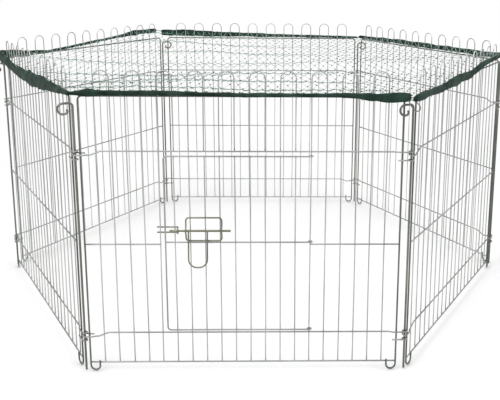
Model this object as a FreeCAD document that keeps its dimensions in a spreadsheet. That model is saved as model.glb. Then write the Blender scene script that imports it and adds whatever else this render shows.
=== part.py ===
import FreeCAD, Part
import math
import os

# Folding six-sided run for small animals: six welded wire panels are hinged on six steel rods,
# the front panel has a door with a slide bolt, and a net with a bound hem covers the top.
# X runs along the front panel, Y points from the front to the back, Z is up.
# The origin lies on the ground at the middle of the run.

Vector = FreeCAD.Vector
UP = Vector(0, 0, 1)
ALONG = Vector(1, 0, 0)
INWARD = Vector(0, 1, 0)

DRIVING_SIZES = (
    ("rod_pitch", 590, "from one corner rod to the next"),
    ("left_inset", 9, "corner rod to the left upright of a panel, seen from outside"),
    ("right_inset", 16, "corner rod to the right upright of a panel"),
    ("foot_bend", 8.9, "centreline radius of the hooked foot"),
    ("foot_tip", 21, "height of the foot's cut end"),
    ("bottom_height", 16, "axis of the bottom wire"),
    ("lower_height", 75, "axis of the lower hinge rail"),
    ("middle_height", 246, "axis of the middle rail"),
    ("upper_height", 418, "axis of the upper hinge rail"),
    ("top_height", 516, "axis of the frame's top run"),
    ("arch_rise", 45, "top run up to the highest point of the bar arches"),
    ("frame_wire", 3.2, "frame wire diameter"),
    ("frame_bend", 8, "bend radius of the frame's upper corners"),
    ("rail_wire", 2.8, "rail wire diameter"),
    ("bar_wire", 2.2, "bar wire diameter"),
    ("weld_gap", 0.05, "room between wires that are spot welded side by side"),
    ("eye_play", 0.9, "room between a hinge eye and its rod"),
    ("eye_drop", 7, "the left eyes lie this far below the rail"),
    ("eye_rise", 3, "climb of the left eye from its rail to its tail"),
    ("tail_length", 8, "left eye's tail and right hook's arm past the upright"),
    ("hook_drop", 15, "right eye down to the second eye on its short arm"),
    ("step_start", 5, "upright to the start of the rail's step to the outside"),
    ("step_run", 9, "length of that step along the rail"),
    ("joggle_start", 17, "left upright to the start of the rail's rise"),
    ("joggle_run", 18, "length of that rise along the rail"),
    ("rod_wire", 4, "corner rod diameter"),
    ("rod_lift", 1, "rod end above the ground"),
    ("rod_drop", 13, "rod's bent-over neck below the frame's top run"),
    ("neck_bend", 6, "bend radius of the neck"),
    ("ring_radius", 9.5, "centreline radius of the rod's ring"),
    ("ring_reach", 16, "rod axis to the ring's centre"),
    ("ring_turn", 20, "degrees by which a ring leans out of the panel line"),
    ("door_wire", 2.8, "door frame wire diameter"),
    ("door_top_gap", 9, "upper rail down to the door's top run"),
    ("door_middle_gap", 4, "middle rail up to the door's middle run"),
    ("door_bottom_gap", 5, "lower rail up to the door's bottom run"),
    ("door_side_gap", 9.5, "last uncut bar to the door's side run"),
    ("door_bend", 6, "bend radius of the door frame's corners"),
    ("door_eye_play", 0.7, "room between a door eye and its hinge bar"),
    ("latch_wire", 2.8, "wire of the guide, handle and keeper"),
    ("bolt_wire", 4, "bolt diameter"),
    ("bolt_length", 109, "bolt from end to end"),
    ("bolt_rise", 22, "door's middle run up to the bolt"),
    ("bolt_play", 0.6, "room round the bolt in its guide"),
    ("bolt_reach", 14.5, "bolt tip past the keeper"),
    ("guide_start", 14.5, "keeper to the guide's left side"),
    ("guide_width", 64, "guide loop, side to side"),
    ("guide_height", 43, "guide loop, bottom to top"),
    ("guide_bend", 6, "bend radius of the guide's corners"),
    ("handle_start", 4.5, "guide's left side to the handle's left leg"),
    ("handle_width", 33.6, "handle, leg to leg"),
    ("handle_drop", 67, "bolt axis down to the handle's bottom run"),
    ("handle_bend", 15, "bend radius of the handle's corners"),
    ("handle_play", 0.3, "room between the handle and what it touches"),
    ("keeper_start", 5, "first door bar to the keeper's front run"),
    ("keeper_tail", 6, "keeper leg past the bar that carries it"),
    ("keeper_play", 1.2, "room above and below the bolt in the keeper"),
    ("net_thickness", 1, "net twine, as a flat layer"),
    ("net_play", 0.4, "net above the frames' top runs"),
    ("net_mesh", 126, "net gap, corner to corner"),
    ("net_strand", 3, "width of a net strand"),
    ("net_border", 10, "closed border of the net"),
    ("net_slack", 0.7, "room round a bar that stands through the net"),
    ("hem_height", 20, "hem where it is fullest"),
    ("hem_depth", 8, "hem from back to front"),
    ("hem_play", 0.3, "room between the hem and the top run"),
    ("hem_start", 2, "upright to the end of the hem"),
    ("cord_wire", 3, "elastic cord diameter"),
    ("cord_lead", 3, "cord's straight stretch out of the hem"),
    ("cord_bow", 6, "cord's way out round a corner"),
)

PANELS = ("front", "right_front", "right_rear", "rear", "left_rear", "left_front")
CORNER_TURN = 60
BAR_COUNT = 20
DOOR_BARS = range(6, 15)
HINGE_BAR = 15
LATCH_BAR = 5

# Chords of each kind of bend, and the angles of the eyes' tails and the rods' rings in degrees
FOOT_CHORDS = 5
BEND_CHORDS = 3
ARCH_CHORDS = 5
EYE_CHORDS = 6
NECK_CHORDS = 3
RING_CHORDS = 8
TAIL_ANGLE = 75
RING_WRAP = 240

# Corner rods: direction of the corner, direction of the ring, and the sense of its lean outwards
CORNERS = {
    "front_right": (300, 180, 1),
    "right": (0, 0, 0),
    "rear_right": (60, 0, 1),
    "rear_left": (120, 0, 1),
    "left": (180, 180, 0),
    "front_left": (240, 180, 1),
}

# Hem along a panel: share of its length and fullness there
HEM_FORM = ((0, 0.4), (0.06, 1), (0.2, 0.8), (0.45, 0.55), (0.72, 0.7), (0.9, 1), (1, 0.5))

# A net gap smaller than this share of the mesh, squared, is left closed
LEAST_GAP = 4

doc = FreeCAD.newDocument("animal_run")
sheet = doc.addObject("Spreadsheet::Sheet", "sizes")
for row, (alias, value, meaning) in enumerate(DRIVING_SIZES, 1):
    sheet.set(f"A{row}", meaning)
    sheet.set(f"B{row}", str(value))
    sheet.setAlias(f"B{row}", alias)
doc.recompute()


def size(alias):
    return float(sheet.get(alias))


def circumradius(diameter, sides):
    return diameter / 2 / math.cos(math.pi / sides)


def arc(center, radius, start, turn, chords, across, along):
    """Points of an arc in the plane of two unit vectors, both ends included, angles in degrees."""
    points = []
    for step in range(chords + 1):
        angle = math.radians(start + turn * step / chords)
        points.append(center + across * (radius * math.cos(angle)) + along * (radius * math.sin(angle)))
    return points


def wire(name, points, diameter, sides, facing, twist=0):
    """A bent wire: a regular section, one flat towards facing, mitred along a run of points."""
    path = doc.addObject("Part::Polygon", name + "_path")
    path.Nodes = points
    path.Close = False
    section = doc.addObject("Part::RegularPolygon", name + "_section")
    section.Polygon = sides
    section.setExpression("Circumradius", f"sizes.{diameter} / (2 * cos(180 deg / {sides}))")
    flat_turn = 0 if sides == 6 else 180 / sides
    frame = FreeCAD.Rotation(Vector(), facing, points[1] - points[0], "ZYX")
    section.Placement = FreeCAD.Placement(points[0], frame * FreeCAD.Rotation(UP, flat_turn + twist))
    sweep = doc.addObject("Part::Sweep", name)
    sweep.Sections = [section]
    sweep.Spine = (path, [])
    sweep.Solid = True
    sweep.Frenet = False
    sweep.Transition = "Right corner"
    return sweep


def stand_on_panel(piece, index):
    """Bind a piece that was drawn in a panel's own frame to its side of the hexagon."""
    turn = CORNER_TURN * index
    piece.Placement = FreeCAD.Placement(Vector(), FreeCAD.Rotation(UP, turn))
    piece.setExpression("Placement.Base.x", f"sizes.rod_pitch * cos(30 deg) * sin({turn} deg)")
    piece.setExpression("Placement.Base.y", f"-sizes.rod_pitch * cos(30 deg) * cos({turn} deg)")


def sub_part(label, pieces):
    part = doc.addObject("Part::Compound", label)
    part.Label = label
    part.Links = pieces
    sub_parts.append(part)
    return part


def on_panel(label, pieces, index):
    stand_on_panel(sub_part(label, pieces), index)


sub_parts = []

# Places in a panel's own frame: x along the panel, y inwards from the line of rods, z up
half_pitch = size("rod_pitch") / 2
left_upright = -half_pitch + size("left_inset")
right_upright = half_pitch - size("right_inset")
bar_pitch = (right_upright - left_upright) / (BAR_COUNT + 1)
rail_radius = size("rail_wire") / 2
bar_radius = size("bar_wire") / 2
eye_radius = size("rod_wire") / 2 + size("eye_play") + rail_radius

# The foot turns out of the panel, so that its cut end passes outside the bottom wire.
# The frame's section is turned by the same angle and lies flat on the ground under the foot.
foot_turn = math.degrees(math.asin((size("rail_wire") + size("weld_gap")) / (2 * size("foot_bend"))))
frame_half = circumradius(size("frame_wire"), 8) * math.cos(math.radians(22.5 - foot_turn))

# Seen from outside: hinge rail, upright, then the bars on the inside of frame and rails
frame_y = -eye_radius + rail_radius + size("weld_gap") + frame_half
back_plane = frame_y + frame_half
rail_y = back_plane - rail_radius
bar_y = back_plane + size("weld_gap") + bar_radius
tail_y = back_plane + size("weld_gap") + circumradius(size("rail_wire"), 6)


def bar_x(number):
    return left_upright + bar_pitch * number


# Frame: one wire from foot to foot
def foot(side):
    """Hooked foot from its cut end to the upright; side is 1 for the left foot, -1 for the right."""
    upright = left_upright if side > 0 else right_upright
    turn = math.radians(foot_turn)
    inward = Vector(side * math.cos(turn), -math.sin(turn), 0)
    radius = size("foot_bend")
    height = radius * math.cos(math.pi / FOOT_CHORDS / 2) + size("frame_wire") / 2
    center = Vector(upright, frame_y, height) + inward * radius
    cut_end = center + inward * radius
    cut_end.z = size("foot_tip")
    return [cut_end] + arc(center, radius, 0, -180, FOOT_CHORDS, inward, UP)


def frame_path():
    bend = size("frame_bend")
    bend_z = size("top_height") - bend
    left = arc(Vector(left_upright + bend, frame_y, bend_z), bend, 180, -90, BEND_CHORDS, ALONG, UP)
    right = arc(Vector(right_upright - bend, frame_y, bend_z), bend, 90, -90, BEND_CHORDS, ALONG, UP)
    return foot(1) + left + right + foot(-1)[::-1]


panel_frame = wire("panel_frame", frame_path(), "frame_wire", 8, INWARD, foot_turn)

# Bars: pairs of bars are hairpins that stand over the top of the frame
bar_end = size("bottom_height") - rail_radius
cut_top = size("upper_height") - rail_radius
cut_bottom = size("lower_height") + rail_radius


def hairpin(name, first, left_end, right_end):
    radius = bar_pitch / 2
    arch_top = size("top_height") + size("arch_rise")
    height = arch_top - bar_radius - radius * math.cos(math.pi / ARCH_CHORDS / 2)
    left = Vector(bar_x(first), bar_y, left_end)
    right = Vector(bar_x(first + 1), bar_y, right_end)
    center = Vector(bar_x(first) + radius, bar_y, height)
    bend = arc(center, radius, 180, -180, ARCH_CHORDS, ALONG, UP)
    return wire(name, [left] + bend + [right], "bar_wire", 6, INWARD)


def bar_foot(number):
    return cut_top if number in DOOR_BARS else bar_end


plain_bars = []
door_panel_bars = []
for first_bar in range(1, BAR_COUNT, 2):
    full = hairpin(f"hairpin_{first_bar}", first_bar, bar_end, bar_end)
    plain_bars.append(full)
    if first_bar in DOOR_BARS or first_bar + 1 in DOOR_BARS:
        ends = (bar_foot(first_bar), bar_foot(first_bar + 1))
        door_panel_bars.append(hairpin(f"cut_hairpin_{first_bar}", first_bar, *ends))
    else:
        door_panel_bars.append(full)
for number in DOOR_BARS:
    stub = [Vector(bar_x(number), bar_y, height) for height in (bar_end, cut_bottom)]
    door_panel_bars.append(wire(f"bar_stub_{number}", stub, "bar_wire", 6, INWARD))


# Hinge rails: an eye round the rod at each end, the left one lower so that neighbours pass.
# A neighbour's left eye sits between the right eye and the hook below it.
def right_eye(height):
    return arc(Vector(half_pitch, 0, height), eye_radius, 180, -270, EYE_CHORDS, ALONG, INWARD)


def hinge_rail(name, height):
    low = height - size("eye_drop")
    rise = size("eye_rise")
    step_end = size("step_start") + size("step_run")
    joggle_end = size("joggle_start") + size("joggle_run")
    points = right_eye(height)
    facing = UP.cross(points[1] - points[0])
    points.append(Vector(right_upright - size("step_start"), -eye_radius, height))
    points.append(Vector(right_upright - step_end, rail_y, height))
    points.append(Vector(left_upright + joggle_end, rail_y, height))
    points.append(Vector(left_upright + size("joggle_start"), rail_y, low))
    points.append(Vector(left_upright + step_end, rail_y, low))
    points.append(Vector(left_upright + size("step_start"), -eye_radius, low))
    left_turn = TAIL_ANGLE - 270
    left_eye = arc(Vector(-half_pitch, 0, low), eye_radius, 270, left_turn, EYE_CHORDS, ALONG, INWARD)
    for step, point in enumerate(left_eye):
        point.z = low + rise * step / EYE_CHORDS
    points += left_eye
    points.append(Vector(left_upright, tail_y, low + rise))
    points.append(Vector(left_upright + size("tail_length"), tail_y, low + rise))
    return wire(name, points, "rail_wire", 6, facing)


def hinge_hook(name, height):
    low = height - size("hook_drop")
    points = right_eye(low)
    facing = UP.cross(points[1] - points[0])
    points.append(Vector(right_upright - size("tail_length"), -eye_radius, low))
    return wire(name, points, "rail_wire", 6, facing)


hinge_rails = [
    hinge_rail("upper_rail", size("upper_height")),
    hinge_rail("lower_rail", size("lower_height")),
    hinge_hook("upper_hook", size("upper_height")),
    hinge_hook("lower_hook", size("lower_height")),
]

# Cross wires: middle rail and bottom wire butt on the uprights
cross_start = left_upright + frame_half + size("weld_gap")
cross_end = right_upright - frame_half - size("weld_gap")


def cross_wire(name, height, start, end):
    points = [Vector(place, rail_y, height) for place in (start, end)]
    return wire(name, points, "rail_wire", 6, INWARD)


bottom_wire = cross_wire("bottom_wire", size("bottom_height"), cross_start, cross_end)
middle_rail = cross_wire("middle_rail", size("middle_height"), cross_start, cross_end)
latch_side_end = bar_x(LATCH_BAR) + bar_radius
hinge_side_start = bar_x(HINGE_BAR) - bar_radius
middle_rail_left = cross_wire("middle_rail_left", size("middle_height"), cross_start, latch_side_end)
middle_rail_right = cross_wire("middle_rail_right", size("middle_height"), hinge_side_start, cross_end)

for index, panel in enumerate(PANELS):
    has_door = index == 0
    cross_wires = [bottom_wire, middle_rail]
    if has_door:
        cross_wires = [bottom_wire, middle_rail_left, middle_rail_right]
    on_panel(f"{panel}_frame", [panel_frame], index)
    on_panel(f"{panel}_bars", door_panel_bars if has_door else plain_bars, index)
    on_panel(f"{panel}_hinge_rails", hinge_rails, index)
    on_panel(f"{panel}_cross_wires", cross_wires, index)


# Corner rods: a straight peg whose top bends over into a ring with its end curled in
def rod_path():
    neck = size("neck_bend")
    top = size("top_height") - size("rod_drop")
    ring = Vector(size("ring_reach"), 0, top - size("ring_radius"))
    points = [Vector(0, 0, size("rod_lift"))]
    points += arc(Vector(neck, 0, top - neck), neck, 180, -90, NECK_CHORDS, ALONG, UP)
    points += arc(ring, size("ring_radius"), 90, -RING_WRAP, RING_CHORDS, ALONG, UP)
    return points


corner_rod = wire("corner_rod", rod_path(), "rod_wire", 8, INWARD)
for corner, (place, ring_side, outward) in CORNERS.items():
    rod = sub_part(f"{corner}_rod", [corner_rod])
    turn = ring_side + outward * size("ring_turn")
    rod.Placement = FreeCAD.Placement(Vector(), FreeCAD.Rotation(UP, turn))
    rod.setExpression("Placement.Base.x", f"sizes.rod_pitch * cos({place} deg)")
    rod.setExpression("Placement.Base.y", f"sizes.rod_pitch * sin({place} deg)")

# Door: a bent frame and a middle run with eyes on the hinge bar, and bars on the inside
door_radius = size("door_wire") / 2
door_corner = circumradius(size("door_wire"), 6)
door_eye_radius = bar_radius + size("door_eye_play") + door_radius
door_y = bar_y - door_eye_radius
door_bar_y = door_y + door_radius + size("weld_gap") + bar_radius
door_side = bar_x(LATCH_BAR) + size("door_side_gap")
door_top = size("upper_height") - size("door_top_gap")
door_middle = size("middle_height") + size("door_middle_gap")
door_bottom = size("lower_height") + size("door_bottom_gap")


def door_eye(height):
    center = Vector(bar_x(HINGE_BAR), bar_y, height)
    return arc(center, door_eye_radius, -90, 270, EYE_CHORDS, ALONG, INWARD)


def door_frame_path():
    bend = size("door_bend")
    upper = Vector(door_side + bend, door_y, door_top - bend)
    lower = Vector(door_side + bend, door_y, door_bottom + bend)
    points = door_eye(door_top)[::-1]
    points += arc(upper, bend, 90, 90, BEND_CHORDS, ALONG, UP)
    points += arc(lower, bend, 180, 90, BEND_CHORDS, ALONG, UP)
    return points + door_eye(door_bottom)


frame_points = door_frame_path()
first_chord = frame_points[1] - frame_points[0]
door_frame_wire = wire("door_frame_wire", frame_points, "door_wire", 6, UP.cross(first_chord))
middle_run_start = Vector(door_side + door_corner + size("weld_gap"), door_y, door_middle)
door_middle_run = wire("door_middle_run", [middle_run_start] + door_eye(door_middle), "door_wire", 6, INWARD)
door_bar_wires = []
for number in DOOR_BARS:
    ends = [Vector(bar_x(number), door_bar_y, height)
            for height in (door_bottom - door_radius, door_top + door_radius)]
    door_bar_wires.append(wire(f"door_bar_{number}", ends, "bar_wire", 6, INWARD))

on_panel("door_frame", [door_frame_wire], 0)
on_panel("door_middle_rail", [door_middle_run], 0)
on_panel("door_bars", door_bar_wires, 0)

# Slide bolt: it runs behind the kinks of its guide and into the keeper on the panel
latch_radius = size("latch_wire") / 2
latch_corner = circumradius(size("latch_wire"), 6)
bolt_corner = circumradius(size("bolt_wire"), 8)
bolt_y = door_bar_y - bar_radius - size("bolt_play") - bolt_corner
bolt_z = door_middle + size("bolt_rise")
kink_y = bolt_y - bolt_corner - size("bolt_play") - latch_radius
keeper_x = bar_x(LATCH_BAR + 1) + size("keeper_start")
bolt_tip = keeper_x - size("bolt_reach")
guide_left = keeper_x + size("guide_start")
guide_right = guide_left + size("guide_width")
guide_bottom = door_middle + door_corner + latch_corner + size("weld_gap")
guide_top = guide_bottom + size("guide_height")
guide_y = door_bar_y - bar_radius - size("weld_gap") - latch_radius

bolt_ends = [Vector(place, bolt_y, bolt_z) for place in (bolt_tip, bolt_tip + size("bolt_length"))]
bolt_wire = wire("bolt_wire", bolt_ends, "bolt_wire", 8, INWARD)


def guide_side(place, sign):
    """One upright side of the guide with its kink round the bolt; sign 1 runs up, -1 down."""
    inner = bolt_corner + size("bolt_play")
    outer = inner + abs(guide_y - kink_y)
    steps = ((-outer, guide_y), (-inner, kink_y), (inner, kink_y), (outer, guide_y))
    return [Vector(place, y, bolt_z + lift) for lift, y in steps[::sign]]


def guide_path():
    bend = size("guide_bend")
    middle = (guide_left + guide_right) / 2
    half_gap = size("weld_gap") / 2
    points = [Vector(middle + half_gap, guide_y, guide_bottom)]
    lower_right = Vector(guide_right - bend, guide_y, guide_bottom + bend)
    points += arc(lower_right, bend, -90, 90, BEND_CHORDS, ALONG, UP)
    points += guide_side(guide_right, 1)
    upper_right = Vector(guide_right - bend, guide_y, guide_top - bend)
    points += arc(upper_right, bend, 0, 90, BEND_CHORDS, ALONG, UP)
    upper_left = Vector(guide_left + bend, guide_y, guide_top - bend)
    points += arc(upper_left, bend, 90, 90, BEND_CHORDS, ALONG, UP)
    points += guide_side(guide_left, -1)
    lower_left = Vector(guide_left + bend, guide_y, guide_bottom + bend)
    points += arc(lower_left, bend, 180, 90, BEND_CHORDS, ALONG, UP)
    points.append(Vector(middle - half_gap, guide_y, guide_bottom))
    return points


def handle_path():
    """U-shaped pull that hangs from the bolt and leans out over the door's middle run."""
    rail_front = guide_y - latch_radius - size("handle_play") - latch_corner
    lean = math.atan2(bolt_y - rail_front, bolt_z - guide_bottom - latch_corner)
    down = Vector(0, -math.sin(lean), -math.cos(lean))
    bend = size("handle_bend")
    left = guide_left + size("handle_start")
    right = left + size("handle_width")
    start = bolt_corner + size("handle_play")
    corner_drop = size("handle_drop") - bend
    axis_left = Vector(left, bolt_y, bolt_z)
    axis_right = Vector(right, bolt_y, bolt_z)
    left_bend = axis_left + ALONG * bend + down * corner_drop
    right_bend = axis_right - ALONG * bend + down * corner_drop
    points = [axis_left + down * start]
    points += arc(left_bend, bend, 180, -90, BEND_CHORDS, ALONG, down)
    points += arc(right_bend, bend, 90, -90, BEND_CHORDS, ALONG, down)
    points.append(axis_right + down * start)
    return points, down.cross(ALONG)


def keeper_path():
    """Staple from the back of a bar, out between two door bars and round the bolt."""
    back_y = bar_y + bar_radius + size("weld_gap") + latch_radius
    reach = bolt_corner + size("keeper_play") + latch_corner
    bend = size("latch_wire")
    start_x = bar_x(LATCH_BAR) - size("keeper_tail")
    corner_x = keeper_x - bend
    upper = Vector(corner_x, back_y - bend, bolt_z + reach)
    lower = Vector(corner_x, back_y - bend, bolt_z - reach)
    points = [Vector(start_x, back_y, bolt_z + reach)]
    points += arc(upper, bend, 90, -90, BEND_CHORDS, ALONG, INWARD)
    nose = Vector(keeper_x, kink_y + reach, bolt_z)
    points += arc(nose, reach, 90, 180, ARCH_CHORDS, INWARD, UP)
    points += arc(lower, bend, 0, 90, BEND_CHORDS, ALONG, INWARD)
    points.append(Vector(start_x, back_y, bolt_z - reach))
    return points


handle_points, handle_facing = handle_path()
on_panel("latch_guide", [wire("guide_wire", guide_path(), "latch_wire", 6, INWARD)], 0)
on_panel("latch_bolt", [bolt_wire], 0)
on_panel("latch_handle", [wire("handle_wire", handle_points, "latch_wire", 6, handle_facing)], 0)
on_panel("latch_keeper", [wire("keeper_wire", keeper_path(), "latch_wire", 6, INWARD)], 0)


# Cover net: it lies on the frames' top runs, with diamond gaps and a closed border.
# The hairpins stand up through slots in the border, and the hem runs round outside them.
def clip(polygon, edge_point, inside):
    """Part of a convex polygon on the inner side of one straight edge."""
    kept = []
    for here, after in zip(polygon, polygon[1:] + polygon[:1]):
        depth_here = (here - edge_point).dot(inside)
        depth_after = (after - edge_point).dot(inside)
        if depth_here >= 0:
            kept.append(here)
        if depth_here * depth_after < 0:
            kept.append(here + (after - here) * (depth_here / (depth_here - depth_after)))
    return kept


def area(polygon):
    return sum((b.x - a.x) * (b.y + a.y) / 2 for a, b in zip(polygon, polygon[1:] + polygon[:1]))


def net_gaps(outline, reach):
    """Diamond gaps of the net inside a convex outline that runs counter-clockwise."""
    mesh = size("net_mesh")
    half = mesh / 2 - size("net_strand") / math.sqrt(2)
    count = math.ceil(reach / mesh)
    gaps = []
    for row in range(-2 * count, 2 * count + 1):
        for column in range(-count, count + 1):
            center = Vector((column + row % 2 / 2) * mesh, row * mesh / 2, 0)
            gap = [center + Vector(half, 0, 0), center + Vector(0, half, 0),
                   center - Vector(half, 0, 0), center - Vector(0, half, 0)]
            for here, after in zip(outline, outline[1:] + outline[:1]):
                inside = UP.cross(after - here)
                inside.normalize()
                gap = clip(gap, here + inside * size("net_border"), inside)
            if len(gap) > 2 and abs(area(gap)) > (mesh / LEAST_GAP) ** 2:
                gaps.append(gap)
    return gaps


def bar_slot(index, first):
    """Slot in the net's border that one hairpin stands through."""
    half_length = bar_pitch / 2 + bar_radius + size("net_slack")
    half_width = bar_radius + size("net_slack")
    turn = FreeCAD.Rotation(UP, CORNER_TURN * index)
    center = Vector(bar_x(first) + bar_pitch / 2, bar_y - half_pitch / math.tan(math.pi / 6), 0)
    sides = ((-1, -1), (1, -1), (1, 1), (-1, 1))
    return [turn.multVec(center + Vector(x * half_length, y * half_width, 0)) for x, y in sides]


def linked(piece, index):
    copy = doc.addObject("App::Link", f"{piece.Name}_{PANELS[index]}")
    copy.LinkedObject = piece
    copy.LinkTransform = True
    stand_on_panel(copy, index)
    return copy


hem_back = frame_y - frame_half - size("hem_play")
hem_y = hem_back - size("hem_depth") / 2
hem_left = left_upright + size("hem_start")
hem_right = right_upright - size("hem_start")

net_radius = size("rod_pitch") - (hem_back + size("hem_play")) / math.cos(math.pi / 6)
net_outline = arc(Vector(), net_radius, 0, 300, 5, ALONG, INWARD)
net_loops = [net_outline] + net_gaps(net_outline, net_radius)
for index in range(len(PANELS)):
    net_loops += [bar_slot(index, first_bar) for first_bar in range(1, BAR_COUNT, 2)]
net_body = doc.addObject("PartDesign::Body", "net_body")
net_plane = next(item for item in net_body.Origin.OriginFeatures if item.Role == "XY_Plane")
net_sketch = net_body.newObject("Sketcher::SketchObject", "net_outline")
net_sketch.AttachmentSupport = [(net_plane, "")]
net_sketch.MapMode = "FlatFace"
for loop in net_loops:
    net_sketch.addGeometry([Part.LineSegment(a, b) for a, b in zip(loop, loop[1:] + loop[:1])])
net_layer = net_body.newObject("PartDesign::Pad", "net_layer")
net_layer.Profile = net_sketch
net_layer.setExpression("Length", "sizes.net_thickness")
net_body.setExpression("Placement.Base.z", "sizes.top_height + sizes.frame_wire / 2 + sizes.net_play")
sub_part("cover_net", [net_body])


# Hem: a rolled band of cloth that swells and thins along the panel
def hem_section(number, share, swell):
    place = hem_left + (hem_right - hem_left) * share
    section = doc.addObject("Part::Polygon", f"hem_section_{number}")
    points = arc(Vector(), 1, 22.5, 315, 7, INWARD, UP)
    flat = math.cos(math.pi / 8)
    depth = size("hem_depth") / 2 / flat * swell
    height = size("hem_height") / 2 / flat * swell
    section.Nodes = [Vector(place, hem_y + point.y * depth, size("top_height") + point.z * height)
                     for point in points]
    section.Close = True
    return section


hem_band = doc.addObject("Part::Loft", "hem_band")
hem_band.Sections = [hem_section(number, *form) for number, form in enumerate(HEM_FORM)]
hem_band.Solid = True
hem_band.Ruled = True
sub_part("net_hem", [linked(hem_band, index) for index in range(len(PANELS))])


# Elastic cord: it leaves the hem at each corner and passes outside the rod
def corner_cord_path():
    corner = Vector(half_pitch, 0, size("top_height"))
    lead = ALONG * size("cord_lead")
    start = Vector(hem_right + size("weld_gap"), hem_y, size("top_height"))
    next_panel = FreeCAD.Rotation(UP, CORNER_TURN)
    next_start = Vector(hem_left - size("weld_gap") + half_pitch, hem_y, 0)
    end = corner + next_panel.multVec(next_start)
    outward = Vector(math.cos(math.radians(CORNER_TURN)), -math.sin(math.radians(CORNER_TURN)), 0)
    bow = corner + outward * size("cord_bow")
    return [start, start + lead, bow, end - next_panel.multVec(lead), end]


corner_cord = wire("corner_cord", corner_cord_path(), "cord_wire", 6, UP)
sub_part("hem_cord", [linked(corner_cord, index) for index in range(len(PANELS))])

doc.recompute()
for item in doc.Objects:
    if "Invalid" in item.State or "Error" in item.State:
        raise RuntimeError(f"{item.Label} failed: {item.State}")
for part in sub_parts:
    if part.Shape.isNull() or not part.Shape.isValid():
        raise RuntimeError(f"{part.Label} has no valid shape")
os.makedirs("parts", exist_ok=True)
for part in sub_parts:
    part.Shape.exportStep(f"parts/{part.Label}.step")
    print(part.Label, len(part.Shape.Solids), "solids", round(part.Shape.Volume), "mm3")
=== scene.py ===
# %% [markdown]
# # A folding wire run under a green net
# Six wire panels are pinned together by six pull-out rods. The front panel has a door with a slide
# bolt, and a net with a gathered hem lies over the top. The loaded frame holds the part as faceted
# solids in its true size and place. This lesson dresses it: every wire is drawn again as a smooth bent
# wire, the net is tied from strands, and each surface gets its finish.

# %% Load the frame
import math

import bpy
import numpy as np
from mathutils import Matrix, Vector, noise


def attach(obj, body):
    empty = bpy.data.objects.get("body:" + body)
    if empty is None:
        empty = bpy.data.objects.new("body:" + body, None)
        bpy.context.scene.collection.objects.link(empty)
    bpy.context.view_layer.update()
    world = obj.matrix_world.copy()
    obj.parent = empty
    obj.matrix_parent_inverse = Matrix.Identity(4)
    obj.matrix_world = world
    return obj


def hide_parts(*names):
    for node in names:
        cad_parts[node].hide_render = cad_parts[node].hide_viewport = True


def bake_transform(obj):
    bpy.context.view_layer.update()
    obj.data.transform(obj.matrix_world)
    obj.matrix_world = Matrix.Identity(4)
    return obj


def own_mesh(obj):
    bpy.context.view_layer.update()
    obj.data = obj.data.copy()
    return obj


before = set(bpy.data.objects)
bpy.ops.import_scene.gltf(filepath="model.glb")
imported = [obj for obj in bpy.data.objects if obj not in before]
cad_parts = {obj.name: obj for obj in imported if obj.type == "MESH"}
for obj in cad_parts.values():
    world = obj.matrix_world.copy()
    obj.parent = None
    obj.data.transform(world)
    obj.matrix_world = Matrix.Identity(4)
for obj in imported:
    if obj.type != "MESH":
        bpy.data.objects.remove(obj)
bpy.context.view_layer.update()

rng = np.random.default_rng(7)

# %% [markdown]
# ## Finishes as expressions
# A finish is a graph of nodes, and a graph is easier to read as arithmetic. The small class below wraps
# one output socket; adding or multiplying it adds a Math node, and its node method adds any other node.
# Python could place and link every node by hand, but then a formula such as 1 - mask takes five lines.

# %% A socket that can be calculated with
MIX_FIRST, MIX_SECOND, MIX_RESULT = 6, 7, 2  # the Mix node's colour sockets


class Value:
    """An output socket of a node tree; arithmetic on it adds Math nodes."""

    def __init__(self, tree, socket=None):
        self.tree = tree
        self.socket = socket

    def node(self, kind, settings=None, sockets=None, output=0):
        made = self.tree.nodes.new(kind)
        for name, value in (settings or {}).items():
            setattr(made, name, value)
        for key, value in (sockets or {}).items():
            if isinstance(value, Value):
                self.tree.links.new(value.socket, made.inputs[key])
            else:
                made.inputs[key].default_value = value
        return Value(self.tree, made.outputs[output])

    def math(self, operation, first, second):
        return self.node("ShaderNodeMath", {"operation": operation}, {0: first, 1: second})

    def __add__(self, other):
        return self.math("ADD", self, other)

    __radd__ = __add__

    def __rsub__(self, other):
        return self.math("SUBTRACT", other, self)

    def __mul__(self, other):
        return self.math("MULTIPLY", self, other)

    def between(self, low, high):
        """0 below low, 1 above high and a straight ramp in between."""
        ramp = {"Value": self, "From Min": low, "From Max": high}
        return self.node("ShaderNodeMapRange", {"clamp": True}, ramp)

    def mix(self, first, second):
        """The first colour where this value is 0, the second where it is 1."""
        colours = {"Factor": self, MIX_FIRST: (*first, 1), MIX_SECOND: (*second, 1)}
        return self.node("ShaderNodeMix", {"data_type": "RGBA"}, colours, MIX_RESULT)


def finish(name, fixed):
    """A new material: its tree as a Value, and its shader with the constant sockets set."""
    material = bpy.data.materials.new(name)
    material.use_nodes = True
    shader = material.node_tree.nodes["Principled BSDF"]
    for socket, value in fixed.items():
        shader.inputs[socket].default_value = value
    return material, Value(material.node_tree), shader


def noise_at(tree, scale, detail=3.0):
    """Noise over the object's own coordinates; scale is in waves to the metre."""
    place = tree.node("ShaderNodeTexCoord", output="Object")
    return tree.node("ShaderNodeTexNoise", {"noise_dimensions": "3D"},
                     {"Vector": place, "Scale": scale, "Detail": detail})


def feed(tree, shader, **values):
    """Links values to the shader's sockets of the same names."""
    for socket, value in values.items():
        tree.tree.links.new(value.socket, shader.inputs[socket.replace("_", " ").title()])


def bumped(tree, height, distance):
    """A surface normal raised by a height value; distance is in metres."""
    return tree.node("ShaderNodeBump", None, {"Height": height, "Distance": distance, "Strength": 1.0})


print("node helpers ready")

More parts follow.
